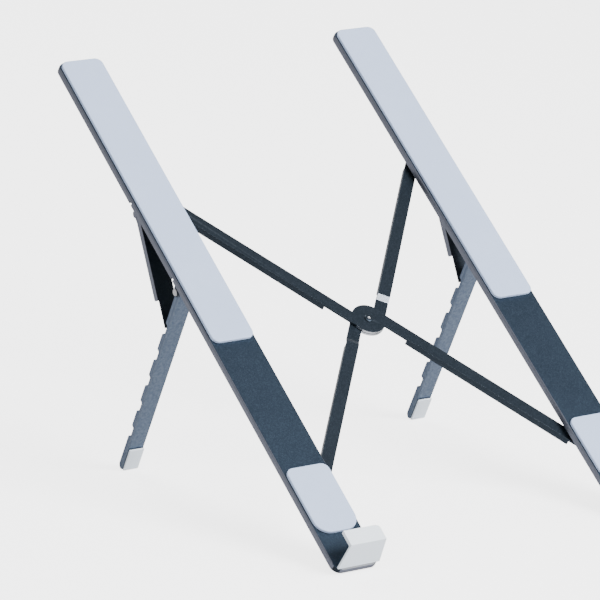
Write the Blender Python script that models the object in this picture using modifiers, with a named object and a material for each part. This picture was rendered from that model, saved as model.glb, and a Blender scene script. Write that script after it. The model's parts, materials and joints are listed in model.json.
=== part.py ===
"""Folding aluminium laptop stand: two sheet-metal rails on a scissor of two cross arms.

Units are metres and +Z is up.  The front of the stand, where the hooks are, faces -Y.
Everything is drawn in the rail frame: X across, Y up along the rail and Z square to its
face, with the origin on the line where the rails' front edges touch the table.
"""
import math

import bmesh
import bpy
from mathutils import Matrix, Vector

# ---- driving dimensions -------------------------------------------------------------
# rails
RAIL_LENGTH = 0.250
RAIL_WIDTH = 0.0193
RAIL_DEPTH = 0.0028          # height of the folded side band
RAIL_SPACING = 0.1266        # centre line to centre line, stand fully open
RAIL_CORNER = 0.0036
FACE_SHEET = 0.0012          # thickness of the rail's face
BAND_SHEET = 0.0010          # thickness of its side band
RELIEF_LENGTH = 0.0014       # small cuts in the band beside each bracket
RELIEF_DEPTH = 0.0013
RELIEF_REACH = 0.0020        # how far they are cut either side of the rail's edge

# scissor arms
ARM_LANE = 0.0059            # arm pivots, inward from a rail's centre line
ARM_PIVOT_Y = 0.0389         # fixed lower pivots, from the rail's front end
ARM_REACH = 0.0912           # hub to pivot
ARM_WIDTH = 0.0050
ARM_HEIGHT = 0.0028
ARM_SHEET = 0.0009
ARM_OFFSET = 0.00395         # each half lies beside the hub, on opposite sides
ARM_DROP = 0.0016            # arm top below the rail's lower edge
HUB_RADIUS = 0.0068
HUB_FLAT = 0.0126            # half length of the joggled flat of the lower arm
JOGGLE_LENGTH = 0.0024
FLANGE_START = 0.0165        # arm flanges begin this far from the hub
HUB_WASHER = 0.0005
HUB_WASHER_RADIUS = 0.0030
SPACER_RADIUS = 0.0023

# rear legs and the struts that lock them
LEG_HINGE_Y = 0.1367
LEG_HINGE_DROP = 0.0030
LEG_LENGTH = 0.0924          # hinge to table, along the leg
LEG_WIDTH = 0.00655
LEG_DEPTH = 0.0029
LEG_SHEET = 0.0009
LEG_CORNER = 0.0018          # rounded rear corner just above the foot
LEG_BRACKET_CLEAR = 0.00045  # leg bracket to the inside of the rail's outer band
NOTCH_COUNT = 5
NOTCH_PITCH = 0.0133
NOTCH_FIRST = 0.0197         # hinge to the middle of the first notch
NOTCH_LENGTH = 0.0050
NOTCH_DEPTH = 0.0014
NOTCH_ROUNDING = 0.45        # corner radius as a share of the depth
SEAT_RISE = 0.0006           # the strut bears this far above the middle of a notch
SEAT_GAP = 0.00075           # and its end stops this far off the notch's floor
STRUT_HINGE_Y = 0.1750
STRUT_HINGE_DROP = 0.0019
STRUT_LENGTH = 0.0448
STRUT_SHEET = 0.0008
STRUT_DEPTH = 0.0026
STRUT_CORNER = 0.0008
STRUT_STANDS_PROUD = 0.0007  # of the leg, on each side
STRUT_FLANGE_END = 0.0340
FOOT_SOLE = 0.0011
FOOT_FACE = 0.0008
FOOT_HEIGHT = 0.0120
FOOT_REACH = 0.7             # how far the sole runs back, as a share of the leg's rear half

# silicone pads and the front hooks
PAD_THICKNESS = 0.0011
PAD_LEDGE = 0.0007
PAD_CORNER = 0.0030
TOP_PAD_START = 0.1060
TOP_PAD_END_LEDGE = 0.0008
FRONT_PAD_START = 0.0154
FRONT_PAD_END = 0.0454
HOOK_HEIGHT = 0.0154
HOOK_LIP = 0.0078
HOOK_LEAN = 0.0010
HOOK_BASE_WIDTH = 0.0176
HOOK_TOP_WIDTH = 0.0150
HOOK_SHEET = 0.0010
HOOK_SKIN = 0.0008

# pins and rivets
PIN_RADIUS = 0.0008
RIVET_RADIUS = 0.0011
RIVET_HEAD_RADIUS = 0.0021
RIVET_HEAD = 0.00045
RIVET_TAIL = 0.0005
RIVET_TAIL_LIP = 0.0004      # formed tail beyond the shank
BRACKET_TAIL = 0.0003        # low tails, to clear the folded leg and strut
BRACKET_TAIL_LIP = 0.0006
PIN_HEAD = 0.0004
PIN_HEAD_LIP = 0.0006
BRACKET_SHEET = 0.0008
BRACKET_HALF_LENGTH = 0.0028
BRACKET_EAR = 0.0012         # metal left around the hinge pin
STRUT_EAR = 0.0009

# clearances
TOUCH_GAP = 0.0003           # between pieces that bear on each other
FIT_GAP = 0.0003             # around pins, in slots and between sliding sheets
CUT_OVERRUN = 0.0010         # how far a cutter runs past what it cuts

# ---- values worked out from the driving dimensions ----------------------------------
LEFT, RIGHT = -1, 1
SIDE_NAMES = {LEFT: "left", RIGHT: "right"}

pivot_half_spacing = RAIL_SPACING / 2 - ARM_LANE
open_angle = math.asin(pivot_half_spacing / ARM_REACH)
hub_y = ARM_PIVOT_Y + ARM_REACH * math.cos(open_angle)
half_length = math.sqrt(ARM_REACH ** 2 - ARM_OFFSET ** 2)
half_angle = open_angle - math.asin(ARM_OFFSET / ARM_REACH)
closed_spacing = RAIL_WIDTH + 2 * FIT_GAP
closed_angle = math.asin(max(closed_spacing / 2 - ARM_LANE, 0.0) / ARM_REACH)
slider_open_y = ARM_PIVOT_Y + 2 * ARM_REACH * math.cos(open_angle)
slider_closed_y = ARM_PIVOT_Y + 2 * ARM_REACH * math.cos(closed_angle)

leg_bracket_width = LEG_WIDTH + 2 * FIT_GAP
leg_lane = -(RAIL_WIDTH / 2 - BAND_SHEET - LEG_BRACKET_CLEAR - BRACKET_SHEET
             - leg_bracket_width / 2)
leg_half_depth = LEG_DEPTH / 2
notch_floor = leg_half_depth - NOTCH_DEPTH
strut_width = LEG_WIDTH + 2 * STRUT_STANDS_PROUD
strut_web_middle = -(PIN_RADIUS + STRUT_SHEET / 2)
seat_place = NOTCH_FIRST - SEAT_RISE
seat_depth = notch_floor + SEAT_GAP


def locked_angles():
    """Angles of leg and strut below the rail's +Y when the strut sits in the top notch."""
    hinge_gap = math.hypot(STRUT_HINGE_Y - LEG_HINGE_Y, LEG_HINGE_DROP - STRUT_HINGE_DROP)
    rise = math.atan2(LEG_HINGE_DROP - STRUT_HINGE_DROP, STRUT_HINGE_Y - LEG_HINGE_Y)
    seat = math.hypot(seat_place, seat_depth)
    tip = math.hypot(STRUT_LENGTH, strut_web_middle)
    at_leg = math.acos((hinge_gap ** 2 + seat ** 2 - tip ** 2) / (2 * hinge_gap * seat))
    at_strut = math.acos((hinge_gap ** 2 + tip ** 2 - seat ** 2) / (2 * hinge_gap * tip))
    leg = at_leg - rise + math.atan2(seat_depth, seat_place)
    strut = math.pi - at_strut - rise + math.atan2(strut_web_middle, STRUT_LENGTH)
    return leg, strut


leg_angle, strut_angle = locked_angles()
foot_y = LEG_HINGE_Y + LEG_LENGTH * math.cos(leg_angle)
foot_z = -LEG_HINGE_DROP - LEG_LENGTH * math.sin(leg_angle)
rail_tilt = math.atan2(-foot_z, foot_y)
leg_lean = math.pi / 2 - (leg_angle - rail_tilt)

# ---- materials ----------------------------------------------------------------------
MATERIALS = {
    "anodised_rail": ((0.045, 0.065, 0.092), 0.42, 0.85),
    "anodised_arm": ((0.035, 0.050, 0.068), 0.40, 0.85),
    "anodised_leg": ((0.120, 0.150, 0.190), 0.40, 0.80),
    "silicone_pad": ((0.60, 0.63, 0.70), 0.62, 0.0),
    "silicone_cover": ((0.72, 0.74, 0.79), 0.55, 0.0),
    "bright_steel": ((0.58, 0.58, 0.60), 0.28, 1.0),
    "nylon_spacer": ((0.05, 0.05, 0.055), 0.50, 0.0),
}

collections = {}


def clear_scene():
    for item in list(bpy.data.objects):
        bpy.data.objects.remove(item, do_unlink=True)
    for name in ("laptop_stand", "cutters"):
        collections[name] = bpy.data.collections.new(name)
        bpy.context.scene.collection.children.link(collections[name])


def material(name):
    existing = bpy.data.materials.get(name)
    if existing:
        return existing
    colour, roughness, metallic = MATERIALS[name]
    made = bpy.data.materials.new(name)
    made.use_nodes = True
    shader = made.node_tree.nodes["Principled BSDF"]
    shader.inputs["Base Color"].default_value = (*colour, 1.0)
    shader.inputs["Roughness"].default_value = roughness
    shader.inputs["Metallic"].default_value = metallic
    made.diffuse_color = (*colour, 1.0)
    return made


def add_frame(name, parent, place=(0, 0, 0), turn_x=0.0, turn_z=0.0):
    """An empty that marks a joint axis or a working frame."""
    empty = bpy.data.objects.new(name, None)
    empty.empty_display_size = 0.01
    collections["laptop_stand"].objects.link(empty)
    empty.parent = parent
    empty.location = place
    empty.rotation_euler = (turn_x, 0.0, turn_z)
    return empty


def finish(name, mesh, frame, material_name, smooth=False):
    """Put a finished mesh into the stand as one named object."""
    mesh.name = name
    mesh.materials.clear()
    mesh.materials.append(material(material_name))
    if smooth:
        mesh.shade_smooth()
        mesh.set_sharp_from_angle(angle=math.radians(35))
    made = bpy.data.objects.new(name, mesh)
    made.parent = frame
    collections["laptop_stand"].objects.link(made)
    return made


# ---- shapes -------------------------------------------------------------------------
def arc(centre, radius, start, end, steps=6):
    """Points on an arc, angles in degrees."""
    angles = [math.radians(start + (end - start) * i / steps) for i in range(steps + 1)]
    return [(centre[0] + radius * math.cos(a), centre[1] + radius * math.sin(a)) for a in angles]


def rounded_rectangle(x0, x1, y0, y1, radii, steps=6):
    """Counter-clockwise outline; radii for the corners x0y0, x1y0, x1y1 and x0y1."""
    a, b, c, d = radii
    points = arc((x0 + a, y0 + a), a, 180, 270, steps)
    points += arc((x1 - b, y0 + b), b, 270, 360, steps)
    points += arc((x1 - c, y1 - c), c, 0, 90, steps)
    points += arc((x0 + d, y1 - d), d, 90, 180, steps)
    return points


def extrude_outline(outline, low, high):
    """A flat outline in X and Y, made solid between two heights."""
    curve = bpy.data.curves.new("outline", "CURVE")
    curve.dimensions = "2D"
    curve.fill_mode = "BOTH"
    curve.extrude = (high - low) / 2
    spline = curve.splines.new("POLY")
    spline.points.add(len(outline) - 1)
    for point, (x, y) in zip(spline.points, outline):
        point.co = (x, y, 0.0, 1.0)
    spline.use_cyclic_u = True
    holder = bpy.data.objects.new("outline", curve)
    bpy.context.scene.collection.objects.link(holder)
    graph = bpy.context.evaluated_depsgraph_get()
    mesh = bpy.data.meshes.new_from_object(holder.evaluated_get(graph))
    bpy.data.objects.remove(holder)
    weld(mesh)
    mesh.transform(Matrix.Translation((0, 0, (low + high) / 2)))
    return mesh


def weld(mesh):
    work = bmesh.new()
    work.from_mesh(mesh)
    bmesh.ops.remove_doubles(work, verts=work.verts, dist=1e-6)
    bmesh.ops.recalc_face_normals(work, faces=work.faces)
    work.to_mesh(mesh)
    work.free()


def side_profile(outline, x0, x1):
    """A side view, given in Y and Z, made solid between two places across."""
    mesh = extrude_outline(outline, x0, x1)
    mesh.transform(Matrix(((0, 0, 1, 0), (1, 0, 0, 0), (0, 1, 0, 0), (0, 0, 0, 1))))
    return mesh


def box(x0, x1, y0, y1, z0, z1):
    work = bmesh.new()
    bmesh.ops.create_cube(work, size=1.0)
    size = Matrix.Diagonal((x1 - x0, y1 - y0, z1 - z0, 1.0))
    middle = Matrix.Translation(((x0 + x1) / 2, (y0 + y1) / 2, (z0 + z1) / 2))
    bmesh.ops.transform(work, matrix=middle @ size, verts=work.verts)
    mesh = bpy.data.meshes.new("box")
    work.to_mesh(mesh)
    work.free()
    return mesh


def cylinder(x, y, z0, z1, radius, segments=24):
    """A cylinder along Z."""
    work = bmesh.new()
    bmesh.ops.create_cone(work, cap_ends=True, segments=segments, radius1=radius,
                          radius2=radius, depth=z1 - z0)
    bmesh.ops.translate(work, vec=(x, y, (z0 + z1) / 2), verts=work.verts)
    mesh = bpy.data.meshes.new("cylinder")
    work.to_mesh(mesh)
    work.free()
    return mesh


def cross_cylinder(x0, x1, y, z, radius, segments=28):
    """A cylinder along X."""
    mesh = cylinder(0, 0, x0, x1, radius, segments)
    mesh.transform(Matrix.Translation((0, y, z)) @ Matrix.Rotation(math.pi / 2, 4, "Y"))
    return mesh


def turned(profile, steps=24):
    """A turned piece about Z from (radius, height) points, listed from the top down."""
    mesh = bpy.data.meshes.new("profile")
    mesh.from_pydata([(r, 0, z) for r, z in profile],
                     [(i, i + 1) for i in range(len(profile) - 1)], [])
    holder = bpy.data.objects.new("profile", mesh)
    bpy.context.scene.collection.objects.link(holder)
    screw = holder.modifiers.new("turn", "SCREW")
    screw.steps = steps
    screw.render_steps = steps
    screw.use_merge_vertices = True
    screw.merge_threshold = 1e-5
    graph = bpy.context.evaluated_depsgraph_get()
    made = bpy.data.meshes.new_from_object(holder.evaluated_get(graph))
    bpy.data.objects.remove(holder)
    weld(made)
    return made


def combine(base, others, operation):
    """Boolean a list of meshes onto a base mesh and return the result."""
    holder = bpy.data.objects.new("work", base)
    bpy.context.scene.collection.objects.link(holder)
    cutters = []
    for number, mesh in enumerate(others):
        cutter = bpy.data.objects.new("cutter", mesh)
        collections["cutters"].objects.link(cutter)
        cutter.hide_render = True
        cutter.display_type = "WIRE"
        step = holder.modifiers.new(f"step{number}", "BOOLEAN")
        step.operation = operation
        step.solver = "EXACT"
        step.object = cutter
        cutters.append(cutter)
    graph = bpy.context.evaluated_depsgraph_get()
    made = bpy.data.meshes.new_from_object(holder.evaluated_get(graph))
    for item in [holder] + cutters:
        bpy.data.objects.remove(item)
    weld(made)
    return made


def cut(base, *others):
    return combine(base, others, "DIFFERENCE")


def join(base, *others):
    return combine(base, others, "UNION")


# ---- rails, pads and hooks ----------------------------------------------------------
def across(side, lane):
    """X of a lane that is measured inward from a rail's centre line."""
    return side * (RAIL_SPACING / 2 - lane)


def span(side, lane, width):
    middle = across(side, lane)
    return middle - width / 2, middle + width / 2


def hook_sheet_profile():
    """Side view of the bent hook: a leaning plate with a lip folded back at its top."""
    top = HOOK_HEIGHT - HOOK_SKIN - TOUCH_GAP
    face_bottom = RAIL_DEPTH - FACE_SHEET / 2
    front = HOOK_SKIN + TOUCH_GAP
    back = front + HOOK_SHEET
    lip_end = HOOK_LIP - HOOK_SKIN - TOUCH_GAP
    return [(front, face_bottom), (back, face_bottom),
            (back + HOOK_LEAN, top - HOOK_SHEET), (lip_end, top - HOOK_SHEET),
            (lip_end, top), (front + HOOK_LEAN, top)]


def make_rail(side, frame):
    name = SIDE_NAMES[side]
    x0, x1 = span(side, 0, RAIL_WIDTH)
    blank = extrude_outline(
        rounded_rectangle(x0, x1, 0, RAIL_LENGTH, [RAIL_CORNER] * 4), 0, RAIL_DEPTH)
    inner = rounded_rectangle(x0 + BAND_SHEET, x1 - BAND_SHEET, BAND_SHEET,
                              RAIL_LENGTH - BAND_SHEET, [RAIL_CORNER - BAND_SHEET] * 4)
    hollow = extrude_outline(inner, -CUT_OVERRUN, RAIL_DEPTH - FACE_SHEET)
    pivot_x = across(side, ARM_LANE)
    face_top = RAIL_DEPTH + CUT_OVERRUN
    hole = RIVET_RADIUS + FIT_GAP
    sink = RIVET_HEAD_RADIUS + FIT_GAP
    sink_floor = RAIL_DEPTH - RIVET_HEAD - 0.5 * FIT_GAP
    cutters = [hollow,
               cylinder(pivot_x, ARM_PIVOT_Y, 0, face_top, hole),
               cylinder(pivot_x, ARM_PIVOT_Y, sink_floor, face_top, sink)]
    slots = [slot_cutter(pivot_x, hole, 0, face_top),
             slot_cutter(pivot_x, sink, sink_floor, face_top)]
    for y in (LEG_HINGE_Y, STRUT_HINGE_Y):
        x = across(side, leg_lane)
        cutters += [cylinder(x, y, 0, face_top, hole), cylinder(x, y, sink_floor, face_top, sink)]
        relief_y = y + BRACKET_HALF_LENGTH
        outer = across(side, -RAIL_WIDTH / 2)
        cutters.append(box(outer - RELIEF_REACH, outer + RELIEF_REACH, relief_y,
                           relief_y + RELIEF_LENGTH, -CUT_OVERRUN, RELIEF_DEPTH))
    rail = cut(blank, *cutters, *slots)
    width = HOOK_TOP_WIDTH - 2 * HOOK_SKIN
    hook_x0, hook_x1 = span(side, 0, width)
    rail = join(rail, side_profile(hook_sheet_profile(), hook_x0, hook_x1))
    return finish(f"{name}_rail", rail, frame, "anodised_rail")


def slot_cutter(x, radius, low, high):
    """The long slot that an upper arm rivet slides along."""
    y0 = slider_open_y - FIT_GAP
    y1 = slider_closed_y + FIT_GAP
    outline = arc((x, y0), radius, 180, 360, 8) + arc((x, y1), radius, 0, 180, 8)
    return extrude_outline(outline, low, high)


def make_pads(side, frame):
    name = SIDE_NAMES[side]
    x0, x1 = span(side, 0, RAIL_WIDTH - 2 * PAD_LEDGE)
    low = RAIL_DEPTH + TOUCH_GAP
    high = low + PAD_THICKNESS
    top = rounded_rectangle(x0, x1, TOP_PAD_START, RAIL_LENGTH - TOP_PAD_END_LEDGE,
                            [PAD_CORNER] * 4)
    finish(f"{name}_top_pad", extrude_outline(top, low, high), frame, "silicone_pad")
    front = rounded_rectangle(x0, x1, FRONT_PAD_START, FRONT_PAD_END,
                              [2 * PAD_CORNER, 2 * PAD_CORNER, PAD_CORNER, PAD_CORNER])
    finish(f"{name}_front_pad", extrude_outline(front, low, high), frame, "silicone_pad")


def make_hook_cover(side, frame):
    """A silicone sleeve over the hook's front and lip, wider at its foot."""
    base = RAIL_DEPTH + TOUCH_GAP
    rise = HOOK_HEIGHT - base
    lip_low = HOOK_HEIGHT - 2 * HOOK_SKIN - HOOK_SHEET - 2 * TOUCH_GAP
    front = 0.5 * TOUCH_GAP
    inner_front = front + HOOK_SKIN
    lip_in = HOOK_LIP - HOOK_SKIN
    lip_foot = HOOK_SKIN + HOOK_SHEET + HOOK_LEAN + 2.5 * TOUCH_GAP
    skin_low = lip_low + HOOK_SKIN
    skin_high = HOOK_HEIGHT - HOOK_SKIN
    outline = [(front, base), (inner_front, base), (inner_front + HOOK_LEAN, skin_high),
               (lip_in, skin_high), (lip_in, skin_low), (lip_foot, skin_low), (lip_foot, lip_low),
               (HOOK_LIP, lip_low), (HOOK_LIP, HOOK_HEIGHT), (front + HOOK_LEAN, HOOK_HEIGHT)]
    x0, x1 = span(side, 0, HOOK_BASE_WIDTH)
    mesh = side_profile(outline, x0, x1)
    middle = across(side, 0)
    for vertex in mesh.vertices:
        share = (vertex.co.z - base) / rise
        width = HOOK_BASE_WIDTH + (HOOK_TOP_WIDTH - HOOK_BASE_WIDTH) * share
        vertex.co.x = middle + (vertex.co.x - middle) * width / HOOK_BASE_WIDTH
    finish(f"{SIDE_NAMES[side]}_hook_cover", mesh, frame, "silicone_cover")


# ---- brackets and hinge pins --------------------------------------------------------
def make_bracket(side, frame, name, y, drop, inner_width, outer_ears):
    """A folded bracket under the rail's face, with two ears that hold a hinge pin."""
    x0, x1 = span(side, leg_lane, inner_width + (2 * BRACKET_SHEET if outer_ears else 0))
    half = BRACKET_HALF_LENGTH
    top = RAIL_DEPTH - FACE_SHEET - TOUCH_GAP
    ear = PIN_RADIUS + BRACKET_EAR
    side_view = arc((y, -drop), ear, 180, 360, 12) + [(y + half, top), (y - half, top)]
    blank = side_profile(side_view, x0, x1)
    hollow = box(x0 + BRACKET_SHEET, x1 - BRACKET_SHEET, y - 2 * half, y + 2 * half,
                 -drop - 2 * ear, top - BRACKET_SHEET)
    pin_hole = cross_cylinder(x0 - CUT_OVERRUN, x1 + CUT_OVERRUN, y, -drop, PIN_RADIUS + FIT_GAP)
    rivet_hole = cylinder(across(side, leg_lane), y, top - 2 * BRACKET_SHEET, top + CUT_OVERRUN,
                          RIVET_RADIUS + FIT_GAP)
    mesh = cut(blank, hollow, pin_hole, rivet_hole)
    finish(f"{SIDE_NAMES[side]}_{name}_bracket", mesh, frame, "anodised_rail")
    flush_head = RAIL_DEPTH - 0.5 * FIT_GAP
    tail = top - BRACKET_SHEET - TOUCH_GAP
    make_rivet(f"{SIDE_NAMES[side]}_{name}_bracket_rivet", frame, across(side, leg_lane), y,
               flush_head, RIVET_HEAD, tail, BRACKET_TAIL, RIVET_RADIUS + BRACKET_TAIL_LIP)


def make_rivet(name, frame, x, y, head_top, head, tail_top, tail, tail_radius):
    """A rivet along Z: a wide head at the top and a formed tail below."""
    profile = [(0, head_top), (RIVET_HEAD_RADIUS, head_top),
               (RIVET_HEAD_RADIUS, head_top - head), (RIVET_RADIUS, head_top - head),
               (RIVET_RADIUS, tail_top), (tail_radius, tail_top),
               (tail_radius, tail_top - tail), (0, tail_top - tail)]
    mesh = turned(profile)
    mesh.transform(Matrix.Translation((x, y, 0)))
    finish(name, mesh, frame, "bright_steel", smooth=True)


def make_hinge_pin(side, frame, name, y, drop, width):
    """A headed pin across two ears and two flanges."""
    x0, x1 = span(side, leg_lane, width + 2 * TOUCH_GAP)
    head_radius = PIN_RADIUS + PIN_HEAD_LIP
    pin = cross_cylinder(x0 - PIN_HEAD / 2, x1 + PIN_HEAD / 2, y, -drop, PIN_RADIUS)
    left_head = cross_cylinder(x0 - PIN_HEAD, x0, y, -drop, head_radius)
    right_head = cross_cylinder(x1, x1 + PIN_HEAD, y, -drop, head_radius)
    finish(f"{SIDE_NAMES[side]}_{name}_pin", join(pin, left_head, right_head), frame,
           "bright_steel", smooth=True)


# ---- legs, feet and struts ----------------------------------------------------------
def ground_line(z):
    """Distance down the leg at which the table lies, for a place behind its centre line."""
    return LEG_LENGTH + z * math.tan(leg_lean)


def leg_outline():
    """Side view of the leg: a straight web and a flange edge with rounded notches."""
    front = -leg_half_depth
    rear = leg_half_depth
    end_gap = TOUCH_GAP / math.cos(leg_lean)
    points = arc((0, 0), leg_half_depth, 90, 270, 10)
    points += [(ground_line(front) - end_gap, front)]
    tail = ground_line(rear - LEG_CORNER) - end_gap
    points += arc((tail - LEG_CORNER, rear - LEG_CORNER), LEG_CORNER, 0, 90, 5)
    for number in reversed(range(NOTCH_COUNT)):
        middle = NOTCH_FIRST + number * NOTCH_PITCH
        low, high = middle - NOTCH_LENGTH / 2, middle + NOTCH_LENGTH / 2
        radius = NOTCH_DEPTH * NOTCH_ROUNDING
        points += arc((high + radius, rear - radius), radius, 90, 180, 3)
        points += arc((high - radius, notch_floor + radius), radius, 0, -90, 3)
        points += arc((low + radius, notch_floor + radius), radius, 270, 180, 3)
        points += arc((low - radius, rear - radius), radius, 0, 90, 3)
    return points


def make_leg(side, frame):
    half = LEG_WIDTH / 2
    blank = side_profile(leg_outline(), -half, half)
    inner = half - LEG_SHEET
    hollow = box(-inner, inner, -LEG_DEPTH, LEG_LENGTH + LEG_DEPTH,
                 -leg_half_depth + LEG_SHEET, LEG_DEPTH)
    web_clear = box(-inner, inner, -LEG_DEPTH, PIN_RADIUS + 2 * FIT_GAP, -LEG_DEPTH, LEG_DEPTH)
    pin_hole = cross_cylinder(-LEG_WIDTH, LEG_WIDTH, 0, 0, PIN_RADIUS + 0.5 * FIT_GAP)
    sole_room = side_profile(sole_outline(TOUCH_GAP, CUT_OVERRUN), -inner, inner)
    mesh = cut(blank, hollow, web_clear, pin_hole, sole_room)
    finish(f"{SIDE_NAMES[side]}_leg", mesh, frame, "anodised_leg")


def sole_outline(above, below):
    """Side view of the sole, grown by the given amounts above it and below the table."""
    front = -leg_half_depth - TOUCH_GAP - FOOT_FACE / 2
    rear = leg_half_depth * FOOT_REACH
    rise = (FOOT_SOLE + above) / math.cos(leg_lean)
    return [(ground_line(front) + below, front), (ground_line(rear) + below, rear),
            (ground_line(rear) - rise, rear), (ground_line(front) - rise, front)]


def make_foot_cap(side, frame):
    """Silicone toe plate in front of the leg, with a sole that sits between its flanges."""
    half = LEG_WIDTH / 2
    front = -leg_half_depth - TOUCH_GAP
    outer = front - FOOT_FACE
    top = LEG_LENGTH - FOOT_HEIGHT
    toe = side_profile([(top, outer), (ground_line(outer), outer), (ground_line(front), front),
                        (top, front)], -half, half)
    inner = half - LEG_SHEET - TOUCH_GAP
    sole = side_profile(sole_outline(0, 0), -inner, inner)
    finish(f"{SIDE_NAMES[side]}_foot_cap", join(toe, sole), frame, "silicone_cover")


def strut_outline():
    """Side view of the strut: round hinge ears, a channel, then the bare web as a tongue."""
    web_low = -(PIN_RADIUS + STRUT_SHEET)
    web_high = -PIN_RADIUS
    rear = web_low + STRUT_DEPTH
    ear = PIN_RADIUS + STRUT_EAR
    corner = STRUT_CORNER
    points = arc((0, 0), ear, 90, 240, 10)
    points += [(ear, web_low), (STRUT_LENGTH, web_low), (STRUT_LENGTH, web_high),
               (STRUT_FLANGE_END, web_high)]
    points += arc((STRUT_FLANGE_END - corner, rear - corner), corner, 0, 90, 3)
    points += [(2 * ear, rear)]
    return points


def make_strut(side, frame):
    half = strut_width / 2
    blank = side_profile(strut_outline(), -half, half)
    inner = half - STRUT_SHEET
    beyond = STRUT_LENGTH + STRUT_DEPTH
    hollow = box(-inner, inner, -STRUT_DEPTH, beyond, -PIN_RADIUS, STRUT_DEPTH)
    web_clear = box(-inner, inner, -STRUT_DEPTH, BRACKET_HALF_LENGTH + 2 * FIT_GAP,
                    -STRUT_DEPTH, STRUT_DEPTH)
    pin_hole = cross_cylinder(-strut_width, strut_width, 0, 0, PIN_RADIUS + 0.5 * FIT_GAP)
    tongue = LEG_WIDTH / 2
    trims = [box(x0, x1, STRUT_FLANGE_END, beyond, -STRUT_DEPTH, STRUT_DEPTH)
             for x0, x1 in ((-strut_width, -tongue), (tongue, strut_width))]
    mesh = cut(blank, hollow, web_clear, pin_hole, *trims)
    finish(f"{SIDE_NAMES[side]}_strut", mesh, frame, "anodised_leg")


# ---- cross arms ---------------------------------------------------------------------
def arm_plan(hand):
    """Plan of an arm: a hub disc with one half on each side of it, hand gives which."""
    outer = ARM_OFFSET + ARM_WIDTH / 2
    inner = ARM_OFFSET - ARM_WIDTH / 2
    at_outer = math.degrees(math.acos(outer / HUB_RADIUS))
    at_inner = math.degrees(math.acos(-inner / HUB_RADIUS))
    one_side = arc((0, 0), HUB_RADIUS, -at_outer, at_inner, 16)
    one_side += arc((-ARM_OFFSET, half_length), ARM_WIDTH / 2, 0, 180, 10)
    points = one_side + [(-x, -y) for x, y in one_side]
    return points if hand > 0 else [(-x, y) for x, y in reversed(points)]


def across_arm(profile):
    """A cutter with the given side view, wider than the whole arm."""
    reach = 2 * HUB_RADIUS
    return side_profile(profile, -reach, reach)


def channel_cutters(hand, top):
    """Hollows under both halves and the trims that leave their round ends bare."""
    far = half_length - ARM_WIDTH / 2
    beyond = half_length + ARM_WIDTH
    floor = top - 2 * ARM_HEIGHT
    cutters = []
    for sign in (-1, 1):
        middle = -hand * sign * ARM_OFFSET
        inner = ARM_WIDTH / 2 - ARM_SHEET
        ends = sorted((sign * (FLANGE_START - CUT_OVERRUN), sign * (far + CUT_OVERRUN)))
        cutters.append(box(middle - inner, middle + inner, *ends, floor, top - ARM_SHEET))
        bare = sorted((sign * far, sign * beyond))
        cutters.append(box(middle - ARM_WIDTH, middle + ARM_WIDTH, *bare, floor, top - ARM_SHEET))
    return cutters


def make_upper_arm(frame):
    """The flat arm, whose halves lie left of the hub above it and right of it below."""
    top = -ARM_DROP
    floor = top - 2 * ARM_HEIGHT
    blank = extrude_outline(arm_plan(1), top - ARM_HEIGHT, top)
    under_hub = across_arm([(-FLANGE_START, floor), (FLANGE_START, floor),
                            (FLANGE_START, top - ARM_SHEET), (-FLANGE_START, top - ARM_SHEET)])
    arm = cut(blank, under_hub, *channel_cutters(1, top))
    finish("upper_arm", drill_arm(arm, -ARM_OFFSET, top), frame, "anodised_arm")


def make_lower_arm(frame):
    """The mirrored arm, joggled down near the hub to pass under the other."""
    top = -ARM_DROP
    low = top - ARM_SHEET - TOUCH_GAP
    ramp = HUB_FLAT + JOGGLE_LENGTH
    floor = top - 2 * ARM_HEIGHT
    roof = top + CUT_OVERRUN
    slope = (top - low) / JOGGLE_LENGTH
    ramp_over = ramp + CUT_OVERRUN / slope
    blank = extrude_outline(arm_plan(-1), top - ARM_HEIGHT, top)
    over_hub = across_arm([(-HUB_FLAT, low), (HUB_FLAT, low), (ramp_over, roof),
                           (-ramp_over, roof)])
    under_hub = across_arm([(-FLANGE_START, floor), (FLANGE_START, floor),
                            (FLANGE_START, top - ARM_SHEET), (ramp, top - ARM_SHEET),
                            (HUB_FLAT, low - ARM_SHEET), (-HUB_FLAT, low - ARM_SHEET),
                            (-ramp, top - ARM_SHEET), (-FLANGE_START, top - ARM_SHEET)])
    arm = cut(blank, over_hub, under_hub, *channel_cutters(-1, top))
    finish("lower_arm", drill_arm(arm, ARM_OFFSET, top), frame, "anodised_arm")


def drill_arm(arm, upper_offset, top):
    """The hub hole and the two pivot holes of an arm."""
    radius = RIVET_RADIUS + FIT_GAP
    low = top - 2 * ARM_HEIGHT
    high = top + CUT_OVERRUN
    return cut(arm, cylinder(0, 0, low, high, radius),
               cylinder(upper_offset, half_length, low, high, radius),
               cylinder(-upper_offset, -half_length, low, high, radius))


def make_hub(frame):
    """The hub rivet, its low head on the upper disc and a washer under the lower one."""
    top = -ARM_DROP
    below = top - 2 * ARM_SHEET - 2 * TOUCH_GAP
    make_rivet("hub_rivet", frame, 0, 0, top + TOUCH_GAP + RIVET_HEAD, RIVET_HEAD,
               below - HUB_WASHER - TOUCH_GAP, RIVET_HEAD, RIVET_HEAD_RADIUS)
    make_spacer("hub_washer", frame, 0, 0, below - HUB_WASHER, below, HUB_WASHER_RADIUS,
                "bright_steel")


def make_spacer(name, frame, x, y, low, high, outer, material_name):
    inner = RIVET_RADIUS + FIT_GAP
    mesh = cut(cylinder(x, y, low, high, outer), cylinder(x, y, low - outer, high + outer, inner))
    finish(name, mesh, frame, material_name, smooth=True)


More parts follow.
